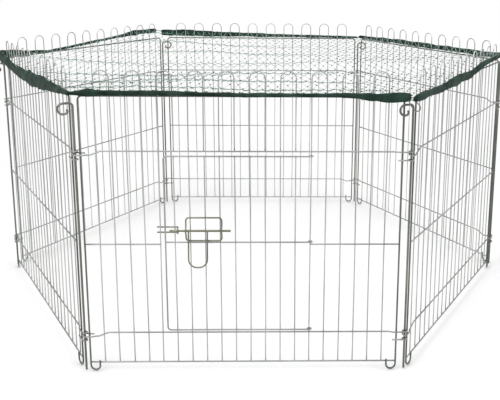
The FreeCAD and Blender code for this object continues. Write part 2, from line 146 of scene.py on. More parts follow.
# %% [markdown]
# ## Zinc and yellow passivate
# Drawn wire is plated in zinc: grey, with a fine grain of its own and soft clouds of painted reflection,
# brighter and darker at random. The uprights are darker and slightly green, the rods are a little lighter,
# and the latch has a pale yellow chromate over the zinc. A photograph could be wrapped round the wires
# instead, but noise in the object's own coordinates needs no unwrapping and looks right at any distance.

# %% Metal finishes
CLOUDS, REFLECTION_SHARE = 9.0, 0.7
SPANGLES, SPANGLE_DETAIL, SPANGLE_RELIEF, GLOSS_SPREAD = 240.0, 2.0, 0.00025, 0.25


def plated(name, dim_end, bright_end, rough):
    """A plated wire between two colours: a fine grain of its own, painted reflection in cloudy patches, and
    a slightly uneven gloss.
    """
    material, tree, shader = finish(name, {"Metallic": 0.85})
    # painted reflection: random clouds that make some stretches of wire brighter and others darker
    reflection_cloud = noise_at(tree, CLOUDS).between(0.36, 0.64)
    spangle = noise_at(tree, SPANGLES, SPANGLE_DETAIL)
    tone = reflection_cloud * REFLECTION_SHARE + spangle * (1 - REFLECTION_SHARE)
    feed(tree, shader,
         base_color=tone.mix(dim_end, bright_end),
         roughness=rough + spangle * GLOSS_SPREAD,
         normal=bumped(tree, spangle, SPANGLE_RELIEF))
    return material


# each pair runs from the dim to the bright end of the painted reflection and the grain
ZINC = plated("zinc_bars", (0.28, 0.29, 0.28), (0.54, 0.55, 0.54), 0.22)
RAIL_ZINC = plated("zinc_rails", (0.19, 0.195, 0.19), (0.38, 0.39, 0.38), 0.20)
FRAME_ZINC = plated("zinc_frame", (0.088, 0.098, 0.087), (0.172, 0.187, 0.166), 0.24)
ROD_ZINC = plated("zinc_rods", (0.100, 0.105, 0.088), (0.225, 0.232, 0.200), 0.20)
YELLOW = plated("yellow_passivate", (0.115, 0.113, 0.080), (0.262, 0.258, 0.200), 0.22)
print("metal finishes:", ZINC.name, RAIL_ZINC.name, FRAME_ZINC.name, ROD_ZINC.name, YELLOW.name)

# %% [markdown]
# ## Twine, elastic and tape
# Twine and elastic are spun or braided, so they show slanting bands with fuzz between them; the hem is
# a woven tape that is crumpled all along, with a painted sheen on its creases. The bands could be drawn on
# unwrapped coordinates that follow each thread, but at this size a slanting wave through space gives the
# same broken bands at once.

# %% Soft finishes
PLY_SHARE, FUZZ_SHARE, FUZZ_FINENESS, FUZZ_GLOSS = 0.55, 0.65, 3.0, 0.2
# bands to the metre, relief in metres, roughness
SPUN = (420.0, 0.0003, 0.65)
BRAIDED = (330.0, 0.0004, 0.7)
CREASES, CREASE_DETAIL, CREASE_SHEEN_SHARE, CREASE_RELIEF = 34.0, 4.0, 0.8, 0.0012
THREADS, THREAD_RELIEF, CLOTH_ROUGH, THREAD_GLOSS = 300.0, 0.1, 0.6, 0.2


def banded(tree, direction, scale, **more):
    """Waves of light and dark across a direction; scale is in bands to the metre."""
    place = tree.node("ShaderNodeTexCoord", output="Object")
    return tree.node("ShaderNodeTexWave", {"wave_type": "BANDS", "bands_direction": direction},
                     {"Vector": place, "Scale": scale, **more})


def twisted(name, dark, light, bands, relief, rough):
    """A spun or braided yarn: bands of light and dark with fuzz between them."""
    material, tree, shader = finish(name, {"Specular IOR Level": 0.25})
    ply = banded(tree, "DIAGONAL", bands, Distortion=3.0, Detail=2.0)
    fuzz = noise_at(tree, bands * FUZZ_FINENESS)
    tone = (ply * PLY_SHARE + fuzz * FUZZ_SHARE).between(0.2, 0.95)
    feed(tree, shader,
         base_color=tone.mix(dark, light),
         roughness=rough + fuzz * FUZZ_GLOSS,
         normal=bumped(tree, tone, relief))
    return material


def crumpled(name, dark, light):
    """Woven tape: creases with a painted sheen where they catch the light, over a fine weave of its own."""
    material, tree, shader = finish(name, {"Specular IOR Level": 0.12})
    crease = noise_at(tree, CREASES, CREASE_DETAIL).between(0.40, 0.74)
    weave = banded(tree, "DIAGONAL", THREADS) * banded(tree, "Z", THREADS)
    # painted sheen: the creases are coloured lighter where their facets would catch the light; the weave is
    # the tape's own
    feed(tree, shader,
         base_color=(crease * CREASE_SHEEN_SHARE + weave * (1 - CREASE_SHEEN_SHARE)).mix(dark, light),
         roughness=CLOTH_ROUGH + weave * THREAD_GLOSS,
         normal=bumped(tree, crease + weave * THREAD_RELIEF, CREASE_RELIEF))
    return material


TWINE = twisted("green_twine", (0.075, 0.165, 0.125), (0.20, 0.36, 0.29), *SPUN)
PALE_TWINE = twisted("pale_twine", (0.22, 0.36, 0.30), (0.46, 0.62, 0.55), *SPUN)
KNOT_TWINE = twisted("tied_twine", (0.016, 0.030, 0.026), (0.060, 0.095, 0.085), *SPUN)
ELASTIC = twisted("braided_elastic", (0.42, 0.42, 0.38), (0.78, 0.78, 0.73), *BRAIDED)
# painted shade: the hanging loop's elastic is coloured darker than the same cord at the corners
SHADED_ELASTIC = twisted("shaded_elastic", (0.09, 0.10, 0.085), (0.34, 0.35, 0.31), *BRAIDED)
# the light colour is the painted sheen on the creases, the dark one the tape's own green
HEM_CLOTH = crumpled("green_tape", (0.004, 0.015, 0.010), (0.036, 0.078, 0.057))
print("soft finishes:", TWINE.name, PALE_TWINE.name, KNOT_TWINE.name,
      ELASTIC.name, SHADED_ELASTIC.name, HEM_CLOTH.name)

# %% [markdown]
# ## Drawing a wire
# A factory bends wire: straight lengths joined by arcs. So a wire here is a list of corner points and a
# bend radius, and a round section is carried along that line without twisting. A Blender curve with a
# bevel would do as well for one wire; a mesh lets hundreds of wires share one object.

# %% Lines from bends
MM = 0.001
UP = np.array((0.0, 0.0, 1.0))
ALONG = np.array((1.0, 0.0, 0.0))
INWARD = np.array((0.0, 1.0, 0.0))
ARC_STEP = math.radians(12)
STRAIGHT = 0.01  # a turn of fewer radians is no bend
BEND_REACH = 0.49  # share of the shorter side that a bend may take up


def point(x, y, z):
    return np.array((x, y, z), float)


def unit(vector):
    return vector / np.linalg.norm(vector)


def arc(center, radius, start, turn, across=ALONG, along=UP):
    """Points round a center, from a start angle through a turn, in degrees."""
    count = max(2, round(abs(math.radians(turn)) / ARC_STEP))
    angles = np.radians(np.linspace(start, start + turn, count + 1))
    return list(center + radius * (np.outer(np.cos(angles), across) + np.outer(np.sin(angles), along)))


def bent(corners, radius):
    """A line through corner points with each corner rounded to a bend radius."""
    line = [corners[0]]
    for before, corner, after in zip(corners, corners[1:], corners[2:]):
        back, ahead = before - corner, after - corner
        half = math.acos(np.clip(unit(back) @ unit(ahead), -1, 1)) / 2
        turn = math.pi - 2 * half
        if turn < STRAIGHT:
            line.append(corner)
            continue
        room = BEND_REACH * min(np.linalg.norm(back), np.linalg.norm(ahead))
        reach = min(radius / math.tan(half), room)
        center = corner + unit(unit(back) + unit(ahead)) * reach / math.cos(half)
        first, last = corner + unit(back) * reach - center, corner + unit(ahead) * reach - center
        for share in np.linspace(0, 1, max(2, round(turn / ARC_STEP)) + 1):
            swing = first * math.sin((1 - share) * turn) + last * math.sin(share * turn)
            line.append(center + swing / math.sin(turn))
    line.append(corners[-1])
    return line


def closer(line, spacing):
    """The same line with points no further apart than the spacing."""
    points = [line[0]]
    for a, b in zip(line, line[1:]):
        count = max(1, math.ceil(np.linalg.norm(b - a) / spacing))
        points += [a + (b - a) * k / count for k in range(1, count + 1)]
    return points


print("a wire bends in steps of", round(math.degrees(ARC_STEP)), "degrees")

# %% [markdown]
# ## Many wires in one mesh
# A panel has about twenty wires, welded into one piece that is never taken apart. One object for every
# wire would fill the outliner with names, so a small class collects rings of points and the faces
# between them, and hands them to Blender as one mesh. It also turns a copy into place.

# %% A mesh of wires
STEEP = 0.9  # share of a direction that points up
END_TAPER, END_FACE = 0.25, 0.72  # shares of a wire's radius
BEAD_RINGS = (-0.8, -0.35, 0.35, 0.8)  # heights of a bead's rings, as shares of its half height


class Wires:
    """Collects round wires and weld beads, in millimetres, into one mesh."""

    def __init__(self):
        self.points = []
        self.faces = []

    def rings(self, rings):
        """Joins rings of equal length into a tube, with caps at its ends."""
        start, sides = len(self.points), len(rings[0])
        for ring in rings:
            self.points += list(ring)
        for row in range(len(rings) - 1):
            for k in range(sides):
                a, b = start + row * sides + k, start + row * sides + (k + 1) % sides
                self.faces.append((a, b, b + sides, a + sides))
        self.faces.append(tuple(range(start + sides - 1, start - 1, -1)))
        last = start + (len(rings) - 1) * sides
        self.faces.append(tuple(range(last, last + sides)))

    def wire(self, line, thickness, sides=12):
        """A round wire along a line, with its sheared ends slightly rounded."""
        line = np.array(line)
        ahead = np.gradient(line, axis=0)
        ahead /= np.linalg.norm(ahead, axis=1)[:, None]
        side = np.cross(ahead[0], UP if abs(ahead[0][2]) < STEEP else ALONG)
        angles = np.linspace(0, 2 * math.pi, sides, endpoint=False)
        rings = []
        for place, direction in zip(line, ahead):
            side = unit(side - direction * (side @ direction))
            other = np.cross(direction, side)
            rings.append((place, np.outer(np.cos(angles), side) + np.outer(np.sin(angles), other)))
        radius = thickness / 2
        body = [place + radius * ring for place, ring in rings]
        (start, first), (end, last) = rings[0], rings[-1]
        taper = END_TAPER * radius
        body[0] = start + ahead[0] * taper + radius * first
        body[-1] = end - ahead[-1] * taper + radius * last
        body.insert(0, start + END_FACE * radius * first)
        body.append(end + END_FACE * radius * last)
        self.rings(body)

    def bead(self, center, size, sides=6):
        """A small rounded nugget, as a spot weld or a knot leaves; size is its half axes."""
        angles = np.linspace(0, 2 * math.pi, sides, endpoint=False)
        rings = []
        for lift in BEAD_RINGS:
            girth = math.sqrt(1 - lift * lift)
            rings.append(center + size * np.stack(
                [girth * np.cos(angles), girth * np.sin(angles), np.full(sides, lift)], axis=1))
        self.rings(rings)

    def turned(self, degrees, base):
        """A copy turned about the vertical and moved to a base point."""
        copy = Wires()
        turn = math.radians(degrees)
        cosine, sine = math.cos(turn), math.sin(turn)
        spin = np.array(((cosine, -sine, 0), (sine, cosine, 0), (0, 0, 1)))
        copy.points = list(np.array(self.points) @ spin.T + base)
        copy.faces = self.faces
        return copy

    def piece(self, name, material, body, slot, nodes):
        """The mesh as an object that stands for CAD nodes and rides on a body, if one is named."""
        mesh = bpy.data.meshes.new(name)
        mesh.from_pydata((np.array(self.points) * MM).tolist(), [], self.faces)
        mesh.materials.append(material)
        mesh.polygons.foreach_set("use_smooth", [True] * len(mesh.polygons))
        mesh.update()
        made = bpy.data.objects.new(name, mesh)
        bpy.context.scene.collection.objects.link(made)
        if body:
            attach(made, body)
        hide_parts(*nodes)
        return made


print("wire meshes ready")

# %% [markdown]
# ## One panel
# Each panel is a frame wire bent from foot to foot, ten hairpins that stand over its top, two hinge
# rails whose ends turn into eyes round the corner rods, and a middle and a bottom wire. The wires are
# resistance-welded, which leaves a small nugget at each crossing. The same panel serves six times, so
# it is drawn in its own coordinates, x along the panel, y inward from the rods and z up, and not in six
# places by hand.

# %% Sizes of a panel
PITCH = 590.0
LEFT_INSET, RIGHT_INSET = 9.0, 16.0
BOTTOM, LOWER, MIDDLE, UPPER, TOP = 16.0, 75.0, 246.0, 418.0, 516.0
ARCH_RISE = 45.0
FRAME_WIRE, RAIL_WIRE, BAR_WIRE, ROD_WIRE = 3.2, 2.8, 2.2, 4.0
FRAME_SIDES, BAR_SIDES = 14, 10
FRAME_STEP, RAIL_STEP, BAR_STEP, STUB_STEP = 60, 40, 30, 20
WELD, EYE_PLAY = 0.05, 0.9
# the solids' flat-sided wires reach a little further out than round ones
FRAME_FLATS, TAIL_FLATS = 0.09, 0.2
BAR_COUNT, DOOR_BARS, LATCH_BAR, HINGE_BAR = 20, range(6, 15), 5, 15
PANELS = ("front", "right_front", "right_rear", "rear", "left_rear", "left_front")
CORNER_TURN = 60.0

HALF = PITCH / 2
LEFT, RIGHT = -HALF + LEFT_INSET, HALF - RIGHT_INSET
BAR_PITCH = (RIGHT - LEFT) / (BAR_COUNT + 1)
EYE = ROD_WIRE / 2 + EYE_PLAY + RAIL_WIRE / 2
FRAME_Y = -EYE + RAIL_WIRE / 2 + WELD + FRAME_WIRE / 2 + FRAME_FLATS
BACK = FRAME_Y + FRAME_WIRE / 2 + FRAME_FLATS
RAIL_Y = BACK - RAIL_WIRE / 2
BAR_Y = BACK + WELD + BAR_WIRE / 2
TAIL_Y = BACK + WELD + RAIL_WIRE / 2 + TAIL_FLATS


def bar_x(number):
    return LEFT + BAR_PITCH * number


def panel_base(index):
    turn = math.radians(index * CORNER_TURN)
    apothem = PITCH * math.cos(math.radians(CORNER_TURN / 2))
    return point(apothem * math.sin(turn), -apothem * math.cos(turn), 0)


print("bars stand", round(BAR_PITCH, 1), "mm apart")

# %% [markdown]
# ## Frame and cross wires
# The frame is a single wire: up one side, across the top and down the other, with each end hooked back
# into a foot. Straight wires at the bottom and in the middle stiffen it; on the front panel the middle
# one is cut away for the door. Bending one line keeps the frame whole, where cylinders and tori put
# together would show a seam at every corner.

# %% Frame and cross wires
FOOT_BEND, FOOT_TIP, FRAME_BEND = 8.9, 21.0, 8.0


def foot(side):
    """A hooked foot, from its cut end to the upright; it turns out past the bottom wire."""
    turn = math.asin((RAIL_WIRE + WELD) / (2 * FOOT_BEND))
    inward = point(side * math.cos(turn), -math.sin(turn), 0)
    upright = LEFT if side > 0 else RIGHT
    center = point(upright, FRAME_Y, FOOT_BEND + FRAME_WIRE / 2) + inward * FOOT_BEND
    cut_end = center + inward * FOOT_BEND
    cut_end[2] = FOOT_TIP
    return [cut_end] + arc(center, FOOT_BEND, 0, -180, inward)


def frame_line():
    top = [point(x, FRAME_Y, TOP) for x in (LEFT, RIGHT)]
    left, right = foot(1), foot(-1)[::-1]
    return left[:-1] + bent([left[-1], *top, right[0]], FRAME_BEND) + right[1:]


def cross(*runs):
    """Straight wires, each given by its height and its two ends."""
    wires = Wires()
    for height, start, end in runs:
        line = [point(x, RAIL_Y, height) for x in (start, end)]
        wires.wire(closer(line, RAIL_STEP), RAIL_WIRE)
    return wires


frame_wire = Wires()
frame_wire.wire(closer(frame_line(), FRAME_STEP), FRAME_WIRE, FRAME_SIDES)
butts = (LEFT + FRAME_WIRE / 2, RIGHT - FRAME_WIRE / 2)
doorway = (bar_x(LATCH_BAR) + BAR_WIRE / 2, bar_x(HINGE_BAR) - BAR_WIRE / 2)
cross_wires = cross((BOTTOM, *butts), (MIDDLE, *butts))
front_cross_wires = cross((BOTTOM, *butts),
                          (MIDDLE, butts[0], doorway[0]), (MIDDLE, doorway[1], butts[1]))
print("frame wire has", len(frame_wire.faces), "faces")

# %% [markdown]
# ## Hairpins
# Two bars are one wire bent over into an arch that stands above the frame. Thin wire is never quite
# straight, so each leg sways by half a millimetre; a seeded random number keeps the sway the same on
# each run. An array modifier would repeat one perfect bar, and the eye notices that at once.

# %% Hairpins with their welds
RAIL_DROP = 3.2  # the hinge rails are already this much lower where they cross the first bar
BAR_SWAY, SWAY_INWARD, SWAY_WAVES = 0.55, 0.4, (0.006, 0.011)
SWAY_END, SWAY_FADE = TOP + 20, 60
NUGGET, NUGGET_IN = np.array((1.5, 1.1, 1.5)), 0.3


def swayed(line, amount):
    """The line with the small sway of a wire that was never quite straight."""
    phase = rng.uniform(0, 2 * math.pi, 2)
    waves = rng.uniform(*SWAY_WAVES, 2)
    heights = np.array([place[2] for place in line])
    hold = np.clip((SWAY_END - heights) / SWAY_FADE, 0, 1)
    sway = np.stack([np.sin(heights * waves[0] + phase[0]),
                     SWAY_INWARD * np.sin(heights * waves[1] + phase[1]),
                     np.zeros(len(heights))], axis=1)
    return list(np.array(line) + amount * hold[:, None] * sway)


def hairpin_line(first, left_end, right_end):
    radius = BAR_PITCH / 2
    center = point(bar_x(first) + radius, BAR_Y, TOP + ARCH_RISE - BAR_WIRE / 2 - radius)
    left, right = point(bar_x(first), BAR_Y, left_end), point(bar_x(first + 1), BAR_Y, right_end)
    return closer([left] + arc(center, radius, 180, -180) + [right], BAR_STEP)


def bars(door):
    wires = Wires()
    low_end, cut = BOTTOM - RAIL_WIRE / 2, UPPER - RAIL_WIRE / 2
    for first in range(1, BAR_COUNT, 2):
        ends = [cut if door and n in DOOR_BARS else low_end for n in (first, first + 1)]
        wires.wire(swayed(hairpin_line(first, *ends), BAR_SWAY), BAR_WIRE, BAR_SIDES)
    for number in DOOR_BARS if door else ():
        stub = [point(bar_x(number), BAR_Y, z) for z in (low_end, LOWER + RAIL_WIRE / 2)]
        wires.wire(closer(stub, STUB_STEP), BAR_WIRE, BAR_SIDES)
    for number in range(1, BAR_COUNT + 1):
        for height in (BOTTOM, LOWER, MIDDLE, UPPER, TOP):
            if not (door and number in DOOR_BARS and height == MIDDLE):
                drop = RAIL_DROP if number == 1 and height in (LOWER, UPPER) else 0
                wires.bead(point(bar_x(number), BACK - NUGGET_IN, height - drop), NUGGET)
    return wires


print("each panel has", BAR_COUNT // 2, "hairpins")

# %% [markdown]
# ## Hinge rails
# Each hinge rail is wrapped round the rod at both ends. At the left it drops so that its eye sits under
# the neighbour's, and its tail is welded behind the upright. A second eye at the right end, on a short
# wire of its own, holds the rod from below. The eyes are arcs, and the runs between them are bent as on
# a jig, because a curve through loose points would not stay flat against the frame.

# %% Hinge rails with an eye at each end
EYE_DROP, EYE_RISE, HOOK_DROP, TAIL = 7.0, 3.0, 15.0, 8.0
STEP_START, STEP_RUN, JOGGLE_START, JOGGLE_RUN = 5.0, 9.0, 17.0, 18.0
TAIL_ANGLE = 75.0
RAIL_BEND = 6.0


def right_eye(height):
    return arc(point(HALF, 0, height), EYE, 180, -270, ALONG, INWARD)


def hinge_rail(height):
    low = height - EYE_DROP
    left_eye = arc(point(-HALF, 0, low), EYE, 270, TAIL_ANGLE - 270, ALONG, INWARD)
    for step, place in enumerate(left_eye):
        place[2] += EYE_RISE * step / (len(left_eye) - 1)
    eye = right_eye(height)
    run = [eye[-1],
           point(RIGHT - STEP_START, -EYE, height),
           point(RIGHT - STEP_START - STEP_RUN, RAIL_Y, height),
           point(LEFT + JOGGLE_START + JOGGLE_RUN, RAIL_Y, height),
           point(LEFT + JOGGLE_START, RAIL_Y, low),
           point(LEFT + STEP_START + STEP_RUN, RAIL_Y, low),
           point(LEFT + STEP_START, -EYE, low),
           left_eye[0]]
    tail = [left_eye[-1]] + [point(x, TAIL_Y, low + EYE_RISE) for x in (LEFT, LEFT + TAIL)]
    return eye[:-1] + closer(bent(run, RAIL_BEND), RAIL_STEP) + left_eye[1:-1] + bent(tail, RAIL_BEND)


hinge_rails = Wires()
for height in (UPPER, LOWER):
    hinge_rails.wire(hinge_rail(height), RAIL_WIRE)
    hook = right_eye(height - HOOK_DROP)
    hinge_rails.wire(hook + [point(RIGHT - TAIL, -EYE, height - HOOK_DROP)], RAIL_WIRE)
print("hinge rails have", len(hinge_rails.faces), "faces")

# %% [markdown]
# ## Six panels in a ring
# The panels stand on the sides of a hexagon. Each gets its own meshes, not linked copies, because each
# rides on a body of its own and folds by itself, and its bars sway in their own way.

# %% Six panels in place
for index, panel in enumerate(PANELS):
    body = f"{panel}_panel"
    place = (index * CORNER_TURN, panel_base(index))
    door = index == 0
    for kind, wires, material, slot in (
        ("frame", frame_wire, FRAME_ZINC, "frame_wire"),
        ("bars", bars(door), ZINC, "bar_wire"),
        ("hinge_rails", hinge_rails, RAIL_ZINC, "rail_wire"),
        ("cross_wires", front_cross_wires if door else cross_wires, RAIL_ZINC, "rail_wire"),
    ):
        node = f"{panel}_{kind}"
        wires.turned(*place).piece(f"{node}_round", material, body, slot, [node])
print("panels placed:", ", ".join(PANELS))

# %% [markdown]
# ## Corner rods
# A rod is a peg of thicker wire dropped through the eyes of two panels. Its top bends over into a ring
# that a finger lifts it by, and the ring's cut end is curled in. A torus on a cylinder would have
# neither the neck nor the cut end, so the rod is one line of arcs.

# %% Rods
ROD_LIFT, ROD_TOP, NECK_BEND, RING_RADIUS, RING_REACH = 1.0, 503.0, 6.0, 9.5, 16.0
CURL_RADIUS, RING_WRAP, CURL_WRAP = 3.6, 215.0, 120.0
# directions of the corner and of its ring, in degrees
RODS = {"front_right": (300, 200), "right": (0, 0), "rear_right": (60, 20),
        "rear_left": (120, 20), "left": (180, 180), "front_left": (240, 200)}


def rod_line():
    ring = point(RING_REACH, 0, ROD_TOP - RING_RADIUS)
    line = closer([point(0, 0, ROD_LIFT), point(0, 0, ROD_TOP - NECK_BEND)], FRAME_STEP)[:-1]
    line += arc(point(NECK_BEND, 0, ROD_TOP - NECK_BEND), NECK_BEND, 180, -90)
    line += arc(ring, RING_RADIUS, 90, -RING_WRAP)
    end = math.radians(90 - RING_WRAP)
    curl = ring + (RING_RADIUS - CURL_RADIUS) * point(math.cos(end), 0, math.sin(end))
    return line + arc(curl, CURL_RADIUS, 90 - RING_WRAP, -CURL_WRAP)[1:]


for corner, (azimuth, facing) in RODS.items():
    name = f"{corner}_rod"
    rod = Wires()
    rod.wire(rod_line(), ROD_WIRE, FRAME_SIDES)
    place = PITCH * point(math.cos(math.radians(azimuth)), math.sin(math.radians(azimuth)), 0)
    rod.turned(facing, place).piece(f"{name}_round", ROD_ZINC, name, "rod_steel", [name])
print("rods:", len(RODS))

# %% [markdown]
# ## Door
# The door is one bent wire whose two ends are curled round a bar of the panel, a middle wire with an
# eye of its own, and nine bars. It could be drawn by its own measures, but worked out from the panel's
# bars it stays in line with the stubs above and below it.

# %% Door
DOOR_WIRE, DOOR_BEND, DOOR_EYE_PLAY, DOOR_SWAY = 2.8, 6.0, 0.7, 0.35
DOOR_SIDE_GAP, DOOR_TOP_GAP, DOOR_MIDDLE_GAP, DOOR_BOTTOM_GAP = 9.5, 9, 4, 5
DOOR_NUGGET, DOOR_NUGGET_IN = np.array((1.5, 1.0, 1.5)), 1.3
DOOR_EYE = BAR_WIRE / 2 + DOOR_EYE_PLAY + DOOR_WIRE / 2
DOOR_Y = BAR_Y - DOOR_EYE
DOOR_BAR_Y = DOOR_Y + DOOR_WIRE / 2 + WELD + BAR_WIRE / 2
DOOR_SIDE = bar_x(LATCH_BAR) + DOOR_SIDE_GAP
DOOR_TOP = UPPER - DOOR_TOP_GAP
DOOR_MIDDLE = MIDDLE + DOOR_MIDDLE_GAP
DOOR_BOTTOM = LOWER + DOOR_BOTTOM_GAP


def door_eye(height):
    return arc(point(bar_x(HINGE_BAR), BAR_Y, height), DOOR_EYE, -90, 270, ALONG, INWARD)


door_frame, door_rail, door_bars = Wires(), Wires(), Wires()
top_eye, bottom_eye = door_eye(DOOR_TOP)[::-1], door_eye(DOOR_BOTTOM)
sides = [point(DOOR_SIDE, DOOR_Y, z) for z in (DOOR_TOP, DOOR_BOTTOM)]
run = bent([top_eye[-1], *sides, bottom_eye[0]], DOOR_BEND)
door_frame.wire(top_eye[:-1] + closer(run, RAIL_STEP) + bottom_eye[1:], DOOR_WIRE)
middle_eye = door_eye(DOOR_MIDDLE)
middle_start = point(DOOR_SIDE + DOOR_WIRE / 2, DOOR_Y, DOOR_MIDDLE)
door_rail.wire(closer([middle_start, middle_eye[0]], RAIL_STEP)[:-1] + middle_eye, DOOR_WIRE)
for number in DOOR_BARS:
    heights = (DOOR_BOTTOM - DOOR_WIRE / 2, DOOR_TOP + DOOR_WIRE / 2)
    ends = [point(bar_x(number), DOOR_BAR_Y, z) for z in heights]
    door_bars.wire(swayed(closer(ends, BAR_STEP), DOOR_SWAY), BAR_WIRE, BAR_SIDES)
    for height in (DOOR_BOTTOM, DOOR_MIDDLE, DOOR_TOP):
        door_bars.bead(point(bar_x(number), DOOR_BAR_Y - DOOR_NUGGET_IN, height), DOOR_NUGGET)
base = (0.0, panel_base(0))
for node, wires, material, slot in (
    ("door_frame", door_frame, RAIL_ZINC, "rail_wire"),
    ("door_middle_rail", door_rail, RAIL_ZINC, "rail_wire"),
    ("door_bars", door_bars, ZINC, "bar_wire"),
):
    wires.turned(*base).piece(f"{node}_round", material, "door", slot, [node])
print("door is", round(bar_x(HINGE_BAR) - DOOR_SIDE), "mm wide")

# %% [markdown]
# ## Latch
# The bolt is a plain peg. Its guide is a wire rectangle with a small kink on each side for the bolt,
# and the U-shaped pull is welded under the bolt and leans out past the guide, so that it can be swung
# up and slid. The keeper is a hairpin laid on its side and catches the bolt's tip. Cylinders joined at
# the bends would do at this size, but the wire helper rounds the bends too.

# %% Latch
LATCH_WIRE, BOLT_WIRE, BOLT_LENGTH, BOLT_RISE, BOLT_PLAY = 2.8, 4.0, 109.0, 22.0, 0.6
GUIDE_START, GUIDE_WIDTH, GUIDE_HEIGHT, GUIDE_BEND = 14.5, 64.0, 43.0, 6.0
HANDLE_START, HANDLE_WIDTH, HANDLE_DROP, HANDLE_BEND = 4.5, 33.6, 67.0, 15.0
KEEPER_START, BOLT_REACH, KEEPER_TAIL, KEEPER_PLAY = 5.0, 14.5, 6.0, 1.2
BOLT_STEP, BOLT_SIDES, HANDLE_STEP, HANDLE_SIDES = 20, 16, 12, 14
GUIDE_SEAM, GUIDE_SEAT, HANDLE_PLAY, WELD_SINK = 0.2, 0.4, 0.3, 0.3
LATCH_FLATS, BOLT_FLATS = 0.2, 0.16

LATCH_R, BOLT_R = LATCH_WIRE / 2 + LATCH_FLATS, BOLT_WIRE / 2 + BOLT_FLATS
BOLT_Y = DOOR_BAR_Y - BAR_WIRE / 2 - BOLT_PLAY - BOLT_R
BOLT_Z = DOOR_MIDDLE + BOLT_RISE
KINK_Y = BOLT_Y - BOLT_R - BOLT_PLAY - LATCH_WIRE / 2
KEEPER_X = bar_x(LATCH_BAR + 1) + KEEPER_START
BOLT_TIP = KEEPER_X - BOLT_REACH
GUIDE_LEFT = KEEPER_X + GUIDE_START
GUIDE_RIGHT = GUIDE_LEFT + GUIDE_WIDTH
GUIDE_BOTTOM = DOOR_MIDDLE + DOOR_WIRE / 2 + LATCH_WIRE / 2 + GUIDE_SEAT
GUIDE_TOP = GUIDE_BOTTOM + GUIDE_HEIGHT
GUIDE_Y = DOOR_BAR_Y - BAR_WIRE / 2 - WELD - LATCH_WIRE / 2


def guide_side(place, sign):
    inner = BOLT_R + BOLT_PLAY
    outer = inner + abs(GUIDE_Y - KINK_Y)
    steps = ((-outer, GUIDE_Y), (-inner, KINK_Y), (inner, KINK_Y), (outer, GUIDE_Y))
    return [point(place, y, BOLT_Z + lift) for lift, y in steps[::sign]]


guide, bolt, handle, keeper = Wires(), Wires(), Wires(), Wires()
center = (GUIDE_LEFT + GUIDE_RIGHT) / 2
corners = [point(x, GUIDE_Y, GUIDE_BOTTOM) for x in (center + GUIDE_SEAM, GUIDE_RIGHT)]
corners += guide_side(GUIDE_RIGHT, 1)
corners += [point(x, GUIDE_Y, GUIDE_TOP) for x in (GUIDE_RIGHT, GUIDE_LEFT)]
corners += guide_side(GUIDE_LEFT, -1)
corners += [point(x, GUIDE_Y, GUIDE_BOTTOM) for x in (GUIDE_LEFT, center - GUIDE_SEAM)]
guide.wire(bent(corners, GUIDE_BEND), LATCH_WIRE)
peg = [point(x, BOLT_Y, BOLT_Z) for x in (BOLT_TIP, BOLT_TIP + BOLT_LENGTH)]
bolt.wire(closer(peg, BOLT_STEP), BOLT_WIRE, BOLT_SIDES)

rail_front = GUIDE_Y - LATCH_WIRE / 2 - HANDLE_PLAY - LATCH_R
lean = math.atan2(BOLT_Y - rail_front, BOLT_Z - GUIDE_BOTTOM - LATCH_R)
down = point(0, -math.sin(lean), -math.cos(lean))
left_leg = point(GUIDE_LEFT + HANDLE_START, BOLT_Y, BOLT_Z)
right_leg = left_leg + point(HANDLE_WIDTH, 0, 0)
weld, drop = down * (BOLT_R - WELD_SINK), down * HANDLE_DROP
pull = [left_leg + weld, left_leg + drop, right_leg + drop, right_leg + weld]
handle.wire(closer(bent(pull, HANDLE_BEND), HANDLE_STEP), LATCH_WIRE, HANDLE_SIDES)

back_y = BAR_Y + BAR_WIRE / 2 + WELD + LATCH_WIRE / 2
reach = BOLT_R + KEEPER_PLAY + LATCH_R
tail_x = bar_x(LATCH_BAR) - KEEPER_TAIL
nose = arc(point(KEEPER_X, KINK_Y + reach, BOLT_Z), reach, 90, 180, INWARD, UP)
upper_arm = [point(x, back_y, BOLT_Z + reach) for x in (tail_x, KEEPER_X)]
lower_arm = [point(x, back_y, BOLT_Z - reach) for x in (KEEPER_X, tail_x)]
upper_line = bent([*upper_arm, nose[0]], LATCH_WIRE)
lower_line = bent([nose[-1], *lower_arm], LATCH_WIRE)
keeper.wire(upper_line[:-1] + nose + lower_line[1:], LATCH_WIRE)
for name, wires, body in (("latch_guide", guide, "door"), ("latch_bolt", bolt, "bolt"),
                          ("latch_handle", handle, "handle"), ("latch_keeper", keeper, "front_panel")):
    wires.turned(*base).piece(f"{name}_round", YELLOW, body, "latch_steel", [name])
print("bolt runs at a height of", round(BOLT_Z), "mm")

# %% [markdown]
# ## Hem of the net
# The net's edge is sewn into a tape of dark green cloth. The tape is pulled in by elastic, so it rolls
# up, swells and thins along each panel: it hangs over the front's top run near the right corner, and
# rides higher on the arches at the back. Cloth simulation would settle a flat tape somewhere else each
# time, so the roll is lofted through the heights that are seen, and noise adds the gathers.

# %% Where the hem runs
HEM_Y = -7.15
# start and end along the panel, from its middle
HEM_ENDS = {"front": (-299, 290), "right_front": (-309, 292), "right_rear": (-294, 298),
            "rear": (-294, 299), "left_rear": (-274, 298), "left_front": (-299, 306)}
